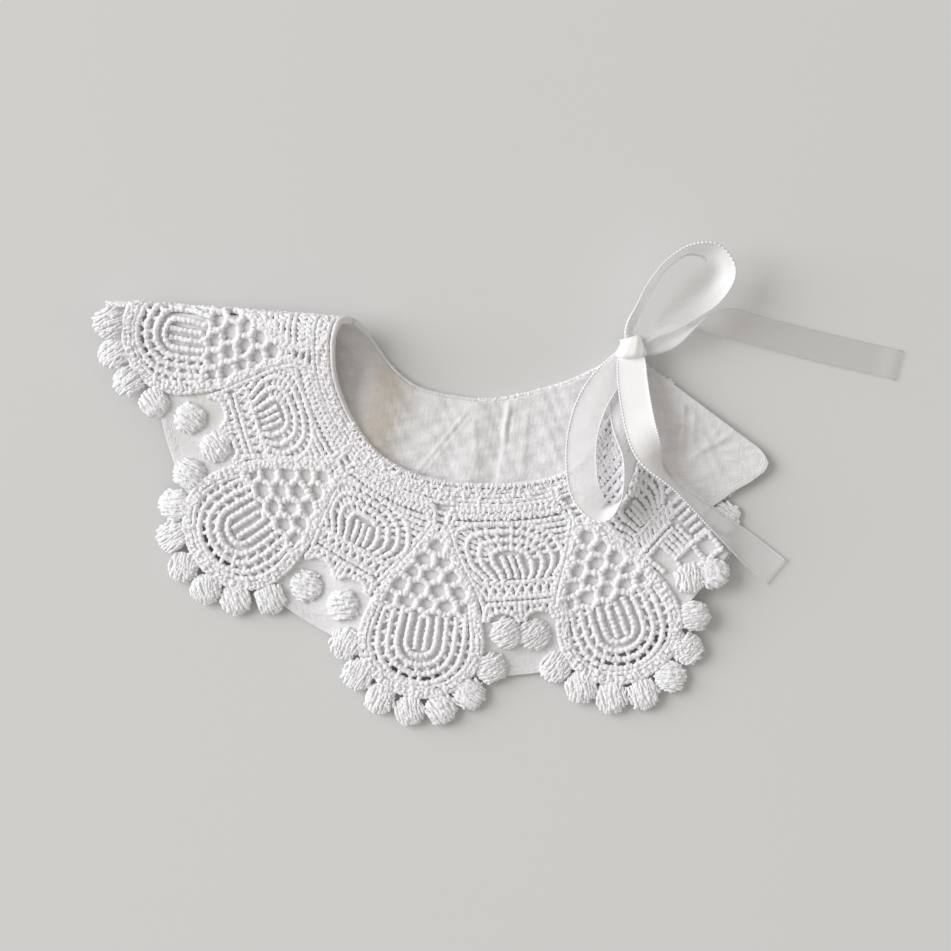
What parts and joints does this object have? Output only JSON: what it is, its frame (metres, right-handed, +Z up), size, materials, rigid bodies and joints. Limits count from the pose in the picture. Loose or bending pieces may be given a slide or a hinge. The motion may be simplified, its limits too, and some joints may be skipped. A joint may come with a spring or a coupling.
{
  "type": "child's lace collar",
  "caption": "Round baby's collar of scalloped lace with pompom edging over a muslin lining, folded once and laid flat, its ribbon ties knotted in a bow.",
  "frame": {"origin": "centre of the collar's outline on the table it lies on", "axes": "+Z up from the table, +X towards the ends of the ribbon ties, +Y from the scalloped hem to the fold's side"},
  "size_m": [0.2599, 0.1563, 0.0187],
  "materials": {
    "lace": "matte",
    "lining": "matte",
    "binding": "matte",
    "satin ribbon": "satin"
  },
  "bodies": {
    "root": {"lace_upper": "lace", "lace_lower": "lace", "lining_upper": "lining", "lining_lower": "lining", "binding_upper": "binding", "binding_lower": "binding", "bow_knot": "satin ribbon", "bow_loop_upper": "satin ribbon", "bow_loop_lower": "satin ribbon", "bow_tail_short": "satin ribbon", "bow_tail_long": "satin ribbon", "tie_upper": "satin ribbon", "tie_lower": "satin ribbon"}
  },
  "joints": []
}
